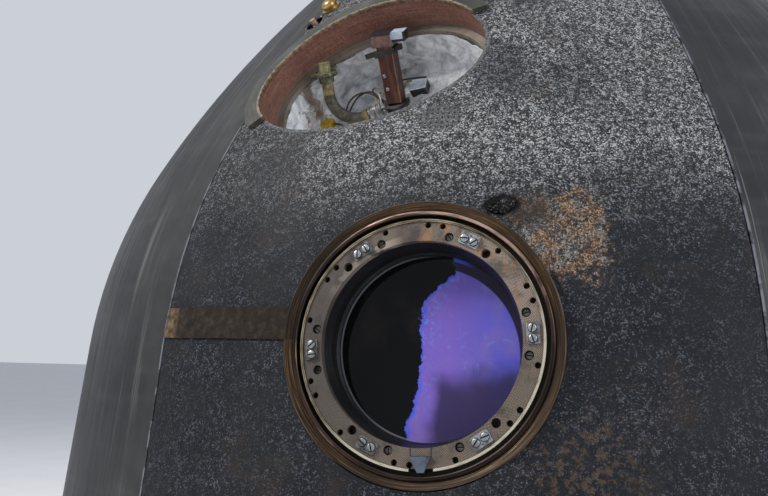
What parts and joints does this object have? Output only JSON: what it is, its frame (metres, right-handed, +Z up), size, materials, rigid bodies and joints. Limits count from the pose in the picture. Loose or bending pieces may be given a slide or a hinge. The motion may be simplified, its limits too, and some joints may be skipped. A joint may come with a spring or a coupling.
{
  "type": "crewed spacecraft descent capsule",
  "caption": "Scorched bell-shaped crew descent capsule with round deep-set windows, oval ports, a top hatch that opens inward, couches and a base ring.",
  "frame": {"origin": "centre of the underside of the base ring, on the floor", "axes": "+Z up along the capsule's axis, the front window looks out along -Y, the hatch hinge is at -X"},
  "size_m": [2.1785, 2.1786, 1.781],
  "materials": {
    "charred_panel": "charred, granular",
    "hull_alloy": "satin",
    "motor_paint": "sooty",
    "altimeter": "matte",
    "couch": "matte",
    "console": "satin",
    "ring_alloy": "machined, scorched",
    "steel": "brushed",
    "handwheel": "satin",
    "window_frame": "charred",
    "window_lip": "worn",
    "window_plate": "woven",
    "window_throat": "satin",
    "window_glass": "coated",
    "latch": "worn",
    "strap": "scorched",
    "laminate": "laminated",
    "lip": "scorched",
    "ledge": "satin",
    "foil": "crumpled foil",
    "post": "worn primer",
    "black_fitting": "satin",
    "hose": "matte",
    "olive_fitting": "worn",
    "brass": "worn",
    "umbilical": "sooty"
  },
  "bodies": {
    "capsule": {"front_panel": "charred_panel", "right_front_panel": "charred_panel", "right_rear_panel": "charred_panel", "rear_panel": "charred_panel", "left_rear_panel": "charred_panel", "left_front_panel": "charred_panel", "reserve_cover": "charred_panel", "pressure_hull": "hull_alloy", "bottom_bulkhead": "hull_alloy", "base_ring": "hull_alloy", "cabin_floor": "hull_alloy", "landing_motors": "motor_paint", "altimeter_plate": "altimeter", "left_seat": "couch", "centre_seat": "couch", "right_seat": "couch", "instrument_console": "console", "hatch_ring": "ring_alloy", "hatch_hinge": "steel", "front_window_clips": "steel", "rear_window_clips": "steel", "thruster_nozzles": "steel", "front_window_frame": "window_frame", "rear_window_frame": "window_frame", "front_window_lip": "window_lip", "rear_window_lip": "window_lip", "front_window_retainer": "window_lip", "rear_window_retainer": "window_lip", "front_window_plate": "window_plate", "rear_window_plate": "window_plate", "front_window_throat": "window_throat", "rear_window_throat": "window_throat", "front_window_glass": "window_glass", "rear_window_glass": "window_glass", "periscope_lens": "window_glass", "front_window_latch": "latch", "rear_window_latch": "latch", "front_strap": "strap", "rear_strap": "strap", "port_liner": "laminate", "port_lip": "lip", "parachute_bay_ring": "lip", "port_ledge": "ledge", "port_well": "foil", "parachute_can": "foil", "port_post": "post", "port_post_clamp": "black_fitting", "port_post_cap": "black_fitting", "port_post_base": "black_fitting", "port_connectors": "black_fitting", "vent_socket": "black_fitting", "periscope_housing": "black_fitting", "port_hose": "hose", "port_hose_fitting": "olive_fitting", "vent_fitting": "brass", "umbilical_plate": "umbilical"},
    "hatch": {"hatch_cover": "ring_alloy", "hatch_handwheel": "handwheel"}
  },
  "joints": [
    {"name": "hatch_hinge_joint", "type": "hinge", "parent": "capsule", "child": "hatch", "pos_m": [-0.378, 0, 1.64004], "axis": [0, 1, 0], "range_deg": [0, 95]}
  ]
}
